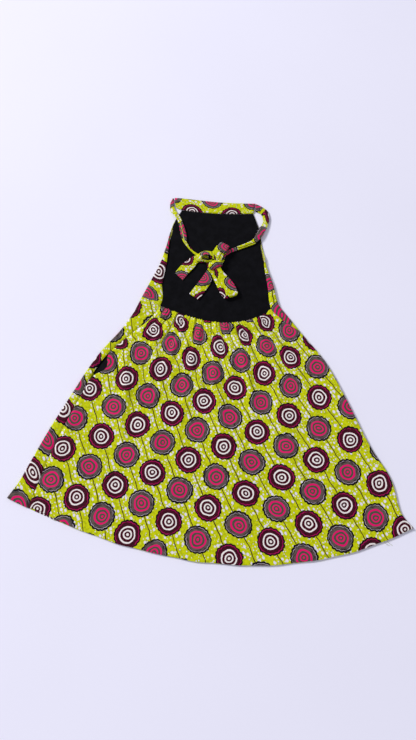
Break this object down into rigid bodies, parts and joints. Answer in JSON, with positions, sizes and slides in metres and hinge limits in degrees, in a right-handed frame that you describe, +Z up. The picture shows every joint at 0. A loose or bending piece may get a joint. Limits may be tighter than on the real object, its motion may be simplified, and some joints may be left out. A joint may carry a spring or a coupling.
{
  "type": "ankara wax print dress",
  "caption": "Child's halter dress in wax print cotton, laid flat with its gathered back up and its neck straps tied in a bow over the lined bib.",
  "frame": {"origin": "middle of the dress's outline on the floor it lies on", "axes": "+Y from the hem to the neck band, +Z up off the floor through the layers, +X to the right as seen from above"},
  "size_m": [0.5817, 0.5856, 0.0152],
  "materials": {
    "wax_print_front": "plain woven cotton with a lime, maroon and pink disc print, slight sheen",
    "wax_print_back": "plain woven cotton with a lime, maroon and pink disc print, slight sheen",
    "wax_print_band": "folded strip of the printed cotton",
    "wax_print_strap": "folded strip of the printed cotton, creased lengthwise",
    "wax_print_bow": "folded strip of the printed cotton",
    "lining": "matt black cotton",
    "pocket_lining": "matt black cotton"
  },
  "bodies": {
    "root": {"front_panel": "wax_print_front", "back_panel": "wax_print_back", "bib_lining": "lining", "pocket_bag": "pocket_lining", "neck_band": "wax_print_band", "strap_left": "wax_print_strap", "strap_right": "wax_print_strap", "bow_loop_upper": "wax_print_bow", "bow_loop_lower": "wax_print_bow", "bow_ring": "wax_print_bow", "bow_tail_left": "wax_print_bow", "bow_tail_lower": "wax_print_bow", "bow_knot": "wax_print_bow"}
  },
  "joints": []
}
